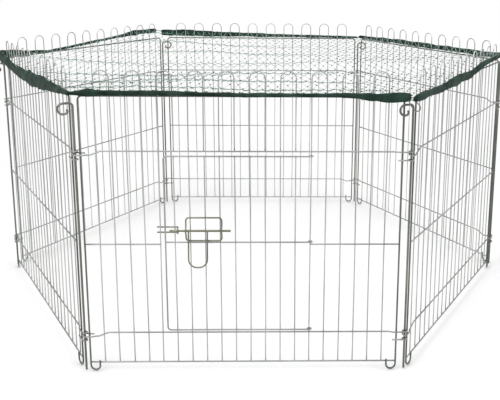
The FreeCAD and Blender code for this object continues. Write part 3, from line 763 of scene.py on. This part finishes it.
# share of the hem's length, top and bottom edge from the frame's top run
HEM_EDGES = {
    "front": ((0, 8, 3), (0.025, 10, 2), (0.055, 14, 0), (0.1, 11, 2), (0.3, 10, 2), (0.5, 7, 0),
              (0.78, 7, 1), (0.87, 8, -5), (0.93, 7, -7), (0.98, 7, -7), (1, 7, -6)),
    "right_front": ((0, 6, -7), (0.25, 5, -10), (0.42, 11, -8), (0.56, 8, -6), (0.68, 19, 7), (1, 22, 15)),
    "right_rear": ((0, 18, 7), (0.1, 15, 3), (0.7, 14, 2), (1, 9, 1)),
    "rear": ((0, 6, 1), (0.4, 12, 3), (0.7, 18, 4), (0.95, 24, 6), (1, 23, 8)),
    "left_rear": ((0, 28, 17), (0.04, 29, 16), (0.18, 29, 16), (0.3, 20, 14), (0.74, 4, -3), (1, 18, -4)),
    "left_front": ((0, 20, -6), (0.12, 12, -10), (0.32, 1, -20), (0.53, 7, -22), (0.74, 9, -13), (1, 9, 3)),
}


def hem_edges(panel, share):
    """Top and bottom edge of a panel's hem at a share of its length, above the ground."""
    shares, tops, bottoms = zip(*HEM_EDGES[panel])
    return TOP + np.interp(share, shares, tops), TOP + np.interp(share, shares, bottoms)


print("hem lengths in mm:", {panel: end - start for panel, (start, end) in HEM_ENDS.items()})

# %% [markdown]
# ## Rolling the hem
# A ring of points is set at each step along the tape and joined to the next. Slow noise makes the tape
# swell and gather, quicker noise adds creases, and a ridge that turns slowly gives it a twist.
# Sculpting would give the same look by hand, but it could not be repeated from a script.

# %% Roll the hem
HEM_DEPTH, HEM_ROLL, HEM_THICKEST, HEM_BACK = 7.0, 34.0, 5.0, 3.9
HEM_STEP, HEM_SIDES, END_SIZE, END_GROWTH = 2.0, 24, 0.7, 0.1
# how strong each kind of unevenness is, and how far apart it lies along the tape
LUMP, LUMP_RUN = 0.15, 48
GATHER, GATHER_RUN, GATHER_ROUND, GATHER_SLANT = 0.36, 52, 1.2, 0.3
CREASE, CREASE_RUN, CREASE_ROUND = 0.09, 21, 1.7
TWIST, TWIST_PITCH, TWIST_DRIFT, DRIFT_RUN, RIDGE_MEAN = 0.22, 190.0, 4, 45, 0.6


def hem(panel, index):
    """A rolled and gathered tape; a narrow stretch is rolled rounder, so its cloth stays as wide."""
    wires = Wires()
    start, end = HEM_ENDS[panel]
    angles = np.linspace(0, 2 * math.pi, HEM_SIDES, endpoint=False)
    rings = []
    for place in np.arange(start, end + HEM_STEP / 2, HEM_STEP):
        top, bottom = hem_edges(panel, (place - start) / (end - start))
        lump = 1 + LUMP * noise.noise((place / LUMP_RUN, 5 * index, 3.0))
        half_height = (top - bottom) / 2 * lump
        half_depth = min(max(HEM_DEPTH / 2, HEM_ROLL / math.pi - half_height), HEM_THICKEST)
        from_end = min(1, END_SIZE + END_GROWTH * min(place - start, end - place))
        drift = TWIST_DRIFT * noise.noise((place / DRIFT_RUN, index, 0))
        turn = 2 * math.pi * place / TWIST_PITCH + drift
        ring = []
        for angle in angles:
            cosine, sine = math.cos(angle), math.sin(angle)
            # each panel reads the noise 10 away from the last, so that no two tapes are alike
            across, round_it = GATHER_ROUND * cosine + 10 * index, GATHER_ROUND * sine
            gather = noise.noise((place / GATHER_RUN + GATHER_SLANT * sine, across, round_it))
            crease = noise.noise((place / CREASE_RUN, CREASE_ROUND * across, CREASE_ROUND * round_it))
            ridge = abs(math.sin(angle + turn)) - RIDGE_MEAN
            swell = from_end * (1 + GATHER * gather + CREASE * crease + TWIST * ridge)
            ring.append((place,
                         HEM_Y - half_depth + HEM_BACK + swell * half_depth * cosine,
                         (top + bottom) / 2 + swell * half_height * sine))
        rings.append(np.array(ring))
    wires.rings(rings)
    return wires.turned(index * CORNER_TURN, panel_base(index))


tapes = {}
for index, panel in enumerate(PANELS):
    tape = hem(panel, index)
    tapes[panel] = tape.piece(f"hem_{panel}", HEM_CLOTH, f"{panel}_panel", "hem_cloth", ["net_hem"])
print("hem pieces:", len(tapes))

# %% [markdown]
# ## Lacing
# The net is tied to its hem: the twine of the last row goes up and down over the tape, and shows as a
# paler zigzag on the inside. It could be drawn in the tape's finish, but a strand that stands on the
# cloth catches the light from any side, so it is a thin tube over the tape's face and edges.

# %% Lace the tape
LACE, LACE_SIDES, LACE_STEP, LACE_FACE, LACE_EDGE = 1.5, 6, 16.0, 5.2, 0.4


def lacing(panel):
    """A zigzag that crosses the tape's inner face and turns at its edges."""
    start, end = HEM_ENDS[panel]
    line = []
    for number, place in enumerate(np.arange(start + LACE_STEP, end - LACE_STEP, LACE_STEP / 2)):
        top, bottom = hem_edges(panel, (place - start) / (end - start))
        middle = (top + bottom) / 2
        height = (middle, bottom - LACE / 2, middle, top + LACE / 2)[number % 4]
        line.append(point(place, HEM_Y + (LACE_FACE, LACE_EDGE)[number % 2], height))
    wires = Wires()
    wires.wire(line, LACE, LACE_SIDES)
    return wires


for index, panel in enumerate(PANELS):
    lace = lacing(panel).turned(index * CORNER_TURN, panel_base(index))
    lace.piece(f"lacing_{panel}", PALE_TWINE, f"{panel}_panel", "net_twine", ["net_hem"])

# %% [markdown]
# ## Elastic at the corners
# Between two stretches of hem the elastic inside it shows: a pale braided cord that passes outside the
# rod. At the front right corner a loop of it hangs down. A cord is limp, so it has no bends like a
# wire: a NURBS line draws a smooth path from a few control points, and a tube follows the points that
# Blender gives along that line. Its length is measured and printed.

# %% Elastic cords
CORD, CORD_SIDES, CORD_BOW, CORD_TUCK, CORNER_RUN = 3.0, 10, 8.0, 22.0, 7.0
LOOP_CORD, LOOP_NECK, LOOP_REACH, LOOP_HALF = 2.0, 6.0, 25.0, 6.0
LOOP_START, LOOP_END = point(-8, -4, -3), point(-3, 2, 3)
LOOP_DOWN, LOOP_ACROSS = unit(point(0.66, 0, -0.75)), unit(point(0.75, 0, 0.66))
OPEN_CORNER = "right_rear"  # the ring of joints is open after this panel, so no joint bends its cord


def smooth_line(route):
    """Points along a NURBS line that has the route's points as its control points."""
    curve = bpy.data.curves.new("route", "CURVE")
    curve.dimensions = "3D"
    line = curve.splines.new("NURBS")
    line.points.add(len(route) - 1)
    for control, place in zip(line.points, route):
        control.co = (*place, 1)
    line.order_u = 3
    line.use_endpoint_u = True
    mesh = bpy.data.meshes.new_from_object(bpy.data.objects.new("route", curve))
    points = [np.array(vertex.co) for vertex in mesh.vertices]
    bpy.data.meshes.remove(mesh)
    bpy.data.curves.remove(curve)
    return points


def on_panel(place, index):
    """A point in a panel's own coordinates, moved to the panel's place."""
    wires = Wires()
    wires.points = [place]
    return wires.turned(index * CORNER_TURN, panel_base(index)).points[0]


def elastic(name, route, thickness, material, lay, *bodies):
    """A cord that rides on one body, or on no body when it runs between two."""
    line = smooth_line(route)
    wires = Wires()
    wires.wire(line, thickness, CORD_SIDES)
    carrier = bodies[0] if len(bodies) == 1 else None
    made = wires.piece(name, material, carrier, "elastic", ["hem_cord"])
    path = [place * MM for place in line]
    if len(bodies) == 2:
        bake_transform(made)
    length = sum(np.linalg.norm(b - a) for a, b in zip(path, path[1:]))
    thickness * MM
    print(name, "is", round(length * 1000), "mm long")


for index, panel in enumerate(PANELS):
    after = (index + 1) % len(PANELS)
    start_z = sum(hem_edges(panel, 1)) / 2
    end_z = sum(hem_edges(PANELS[after], 0)) / 2
    start = on_panel(point(HEM_ENDS[panel][1] - CORD_TUCK, HEM_Y, start_z), index)
    end = on_panel(point(HEM_ENDS[PANELS[after]][0] + CORD_TUCK, HEM_Y, end_z), after)
    corner = on_panel(point(HALF, 0, 0), index)
    outside, onward = corner + unit(corner) * CORD_BOW, np.cross(UP, unit(corner)) * CORNER_RUN
    route = (start, outside - onward + start_z * UP, outside + onward + end_z * UP, end)
    bodies = [f"{panel}_panel", f"{PANELS[after]}_panel"]
    if panel == OPEN_CORNER:
        bodies = bodies[:1]
    elastic(f"elastic_{panel}_right", route, CORD, ELASTIC, "taut", *bodies)

knot = on_panel(point(HALF, HEM_Y, TOP) + LOOP_START, 0)
neck, far, beside = LOOP_NECK * LOOP_DOWN, LOOP_REACH * LOOP_DOWN, LOOP_HALF * LOOP_ACROSS
loop = (knot, knot + neck + beside, knot + far + beside,
        knot + far - beside, knot + neck - beside, knot + LOOP_END)
# the loop gets the darker elastic, which is painted shade
elastic("elastic_loop", loop, LOOP_CORD, SHADED_ELASTIC, "hanging", "front_panel")

# %% [markdown]
# ## The net
# The net is knotted from thin twine in long diamonds. It lies slack on the top runs, so it sags a
# little, and its left and middle have been pushed into folds. In a fold three rows of knots come to
# lie on one line, and their strands run together like a cord. A flat sheet with a see-through pattern
# is lighter, but it has no thickness and no knots, so here each strand is a thin tube between two
# knots. Each knot of a flat net is moved to where it lies, and the strands follow.

# %% How the net lies
MESH_ACROSS, MESH_ALONG = 19.0, 58.0
STRAND, FOLD_STRAND, STRAND_SIDES, STRAND_SLACK = 0.55, 0.9, 4, 1.6
KNOT, KNOT_SHAPE, KNOT_SIDES = 1.75, np.array((0.9, 1.3, 0.7)), 5
NET_SAG, NET_EDGE, ROD_CLEAR, HEM_HOLD, HEM_PULL = 20.0, -5.0, 14.0, 50.0, 25.0
FOLD_PITCH = 2.5 * MESH_ALONG  # five rows of knots to a fold, so that a row lies on each fold's line
FOLD_PULL, FOLD_LIFT, FOLD_BEND, FOLD_BEND_RUN = 27.0, 4.0, 9.0, 95.0
FOLD_END, FOLD_FADE, FOLD_SLANT = 260.0, 300.0, 0.25
BUNCH_HALF, BUNCH_LEAST = 34.0, 0.45
NET_RISE, UNEVEN = 2.0, np.array((2.2, 3.0, 1.5))
APOTHEM = -panel_base(0)[1]
TURNS = np.radians(np.arange(len(PANELS)) * CORNER_TURN)
NORMALS = np.stack([np.sin(TURNS), -np.cos(TURNS)], axis=1)
# in a hexagon the rods lie in the directions in which the panels run
SIDEWAYS = ROD_PLACES = np.stack([np.cos(TURNS), np.sin(TURNS)], axis=1)


def inside(flat):
    """Distance of a flat place from the nearest edge of the net, which leaves the rods free."""
    from_rods = np.linalg.norm(PITCH * ROD_PLACES - flat, axis=1).min() - ROD_CLEAR
    return min((APOTHEM - NORMALS @ flat).min() - NET_EDGE, from_rods)


def freedom(flat):
    """0 where the hem holds the net, and nearly 1 well inside."""
    return 1 - math.exp(-max(inside(flat), 0) / HEM_HOLD)


def folding(flat):
    """How strongly the net is folded at a flat place, from 0 to 1."""
    from_end = FOLD_END - flat[0] - FOLD_SLANT * flat[1]
    return freedom(flat) * np.clip(from_end / FOLD_FADE, 0, 1)


def bunched(flat):
    """Whether a flat place comes to lie on the line of a fold."""
    folds = flat[1] / FOLD_PITCH
    return abs(folds - round(folds)) * FOLD_PITCH < BUNCH_HALF and folding(flat) > BUNCH_LEAST


def lie(flat, loose):
    """Where a place of the flat net comes to lie, with some hand-made unevenness."""
    from_panels = APOTHEM - NORMALS @ flat
    shares = np.clip((SIDEWAYS @ flat + HALF) / PITCH, 0, 1)
    heights = [sum(hem_edges(panel, share)) / 2 for panel, share in zip(PANELS, shares)]
    pulls = np.exp(-from_panels / HEM_PULL)
    edge = pulls @ heights / pulls.sum()
    free, folded = freedom(flat), folding(flat)
    wave = 2 * math.pi * flat[1] / FOLD_PITCH
    shift = FOLD_PULL * math.sin(wave) + FOLD_BEND * math.sin(flat[0] / FOLD_BEND_RUN)
    sag = NET_SAG * (1 - (np.linalg.norm(flat) / PITCH) ** 2)
    across, along, lift = UNEVEN * free * loose
    return point(flat[0] + across,
                 flat[1] + along - folded * shift,
                 edge + lift + free * (NET_RISE - sag + FOLD_LIFT * folded * math.cos(wave)))


print("net meshes are", MESH_ACROSS, "by", MESH_ALONG, "mm")

# %% [markdown]
# ## Tying the net
# Rows of knots are laid out flat, every other row half a mesh aside, and two strands run from each knot
# to the next row. At the edge a strand is cut where it enters the hem. In a fold the knots are hidden
# among the strands, which are drawn thicker because several lie side by side. A wireframe modifier on a
# grid would be quicker, but it gives no knots.

# %% Tie the net
knots = {}
rows, columns = math.ceil(2 * PITCH / MESH_ALONG) + 1, math.ceil(PITCH / MESH_ACROSS) + 1
for row in range(-rows, rows + 1):
    for column in range(-columns, columns + 1):
        flat = np.array((MESH_ACROSS * (column + row % 2 / 2), MESH_ALONG / 2 * row))
        knots[row, column] = (flat, inside(flat), rng.uniform(-1, 1, 3))

net, ties = Wires(), Wires()
for (row, column), (flat, depth, loose) in knots.items():
    if depth > KNOT and not bunched(flat):
        ties.bead(lie(flat, loose), KNOT * KNOT_SHAPE, KNOT_SIDES)
    for other in ((row + 1, column + row % 2 - 1), (row + 1, column + row % 2)):
        next_flat, next_depth, next_loose = knots.get(other, (flat, -1, loose))
        if max(depth, next_depth) <= 0:
            continue
        ends = [(flat, loose), (next_flat, next_loose)]
        if min(depth, next_depth) < 0:
            cut = flat + (next_flat - flat) * depth / (depth - next_depth)
            ends[0 if depth < 0 else 1] = (cut, loose)
        a, b = (lie(*end) for end in ends)
        if np.linalg.norm(b - a) > STRAND:
            middle = (a + b) / 2 - point(0, 0, STRAND_SLACK * (1 + loose[0]) / 2)
            thickness = FOLD_STRAND if bunched(flat) and bunched(next_flat) else STRAND
            net.wire([a, middle, b], thickness, STRAND_SIDES)

for name, wires, material in (("cover_net_strands", net, TWINE),
                              ("cover_net_knots", ties, KNOT_TWINE)):
    made = wires.piece(name, material, "front_panel", "net_twine", ["cover_net"])
    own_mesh(made)
print("net faces:", len(net.faces) + len(ties.faces))

# %% [markdown]
# ## What the cover was cut from
# The hem is six lengths of tape, and the length of each before it was gathered is worked out; their sum is
# printed. A net is mostly holes, so it has no cloth area of its own.

for panel, tape in tapes.items():
    start, end = HEM_ENDS[panel]
    (end - start) * MM
print("tape needed in metres:", sum(end - start for start, end in HEM_ENDS.values()) * MM)

# %% [markdown]
# ## Floor and light
# The object was photographed on white under soft light from above. A pale floor keeps its shadow and
# fades out all round; a white world shows to the camera and in reflections, and three large lamps light
# the wires evenly. A light tent of white walls would do the same, but it would hide the other views.

# %% Floor, lamps and world
FLOOR_SIZE, FLOOR_DROP, FLOOR_FADE, FLOOR_CLOUDS = 8, 0.001, (0.75, 1.5), 3.0
AMBIENT = 0.55
scene = bpy.context.scene
scene.view_settings.view_transform = "Standard"
material, tree, shader = finish("pale_floor", {"Roughness": 0.9, "Specular IOR Level": 0.1})
place = tree.node("ShaderNodeTexCoord", output="Object")
away = tree.node("ShaderNodeVectorMath", {"operation": "LENGTH"}, {0: place}, "Value")
feed(tree, shader,
     base_color=noise_at(tree, FLOOR_CLOUDS).mix((0.92, 0.92, 0.92), (0.95, 0.95, 0.95)),
     alpha=1 - away.between(*FLOOR_FADE))
bpy.ops.mesh.primitive_plane_add(size=FLOOR_SIZE, location=(0, 0, -FLOOR_DROP))
floor = bpy.context.object
floor.name = "floor"
floor.data.materials.append(material)

for name, place, aim, size, power in (
    ("key_lamp", (-1.6, -2.2, 3.0), (0, 0, 0.3), 2.4, 62.0),
    ("fill_lamp", (2.4, -1.2, 2.4), (0, 0, 0.3), 2.6, 34.0),
    ("top_lamp", (0.0, 0.6, 3.4), (0, 0, 0.2), 3.0, 40.0),
):
    lamp = bpy.data.lights.new(name, "AREA")
    lamp.size = size
    lamp.energy = power
    holder = bpy.data.objects.new(name, lamp)
    holder.location = place
    holder.rotation_euler = (Vector(aim) - Vector(place)).to_track_quat("-Z", "Y").to_euler()
    scene.collection.objects.link(holder)

world = bpy.data.worlds.new("studio")
scene.world = world
world.use_nodes = True
sky = Value(world.node_tree)
seen, shiny, through = (sky.node("ShaderNodeLightPath", output=f"Is {ray} Ray")
                        for ray in ("Camera", "Glossy", "Transmission"))
white = sky.math("MINIMUM", seen + shiny + through, 1.0)
strength = white * (1 - AMBIENT) + AMBIENT
background = world.node_tree.nodes["Background"]
background.inputs["Color"].default_value = (1, 1, 1, 1)
world.node_tree.links.new(strength.socket, background.inputs["Strength"])
print("lamps: key, fill and top; ambient", AMBIENT)

# %% [markdown]
# ## Camera
# The photograph was taken from a little above the net, almost level, and then cropped. A lens shift
# draws the crop, but a large one would push the part out of the other views, so some of it is replaced
# by tilting the camera down. The place and the lens were then chosen to lay the corners on the photo's.

# %% Camera
EYE_POINT = (66.4, -1830.9, 746.5)
YAW, PITCH_DOWN, ROLL = -1.53, 12.01, 0.5
FOCAL_PIXELS, IMAGE_WIDTH, SENSOR_WIDTH = 773.4, 500.0, 36.0
LENS_SHIFT = (-0.1048, -0.15)


def rotation(degrees, axis):
    return Matrix.Rotation(math.radians(degrees), 4, axis)


lens = bpy.data.cameras.new("camera")
lens.sensor_width = SENSOR_WIDTH
lens.lens = FOCAL_PIXELS * SENSOR_WIDTH / IMAGE_WIDTH
lens.shift_x, lens.shift_y = LENS_SHIFT
camera = bpy.data.objects.new("camera", lens)
aim = rotation(YAW, "Z") @ rotation(90 - PITCH_DOWN, "X")
camera.matrix_world = Matrix.Translation(Vector(EYE_POINT) * MM) @ aim @ rotation(ROLL, "Z")
scene.collection.objects.link(camera)
scene.camera = camera
print("lens", round(lens.lens, 1), "mm")
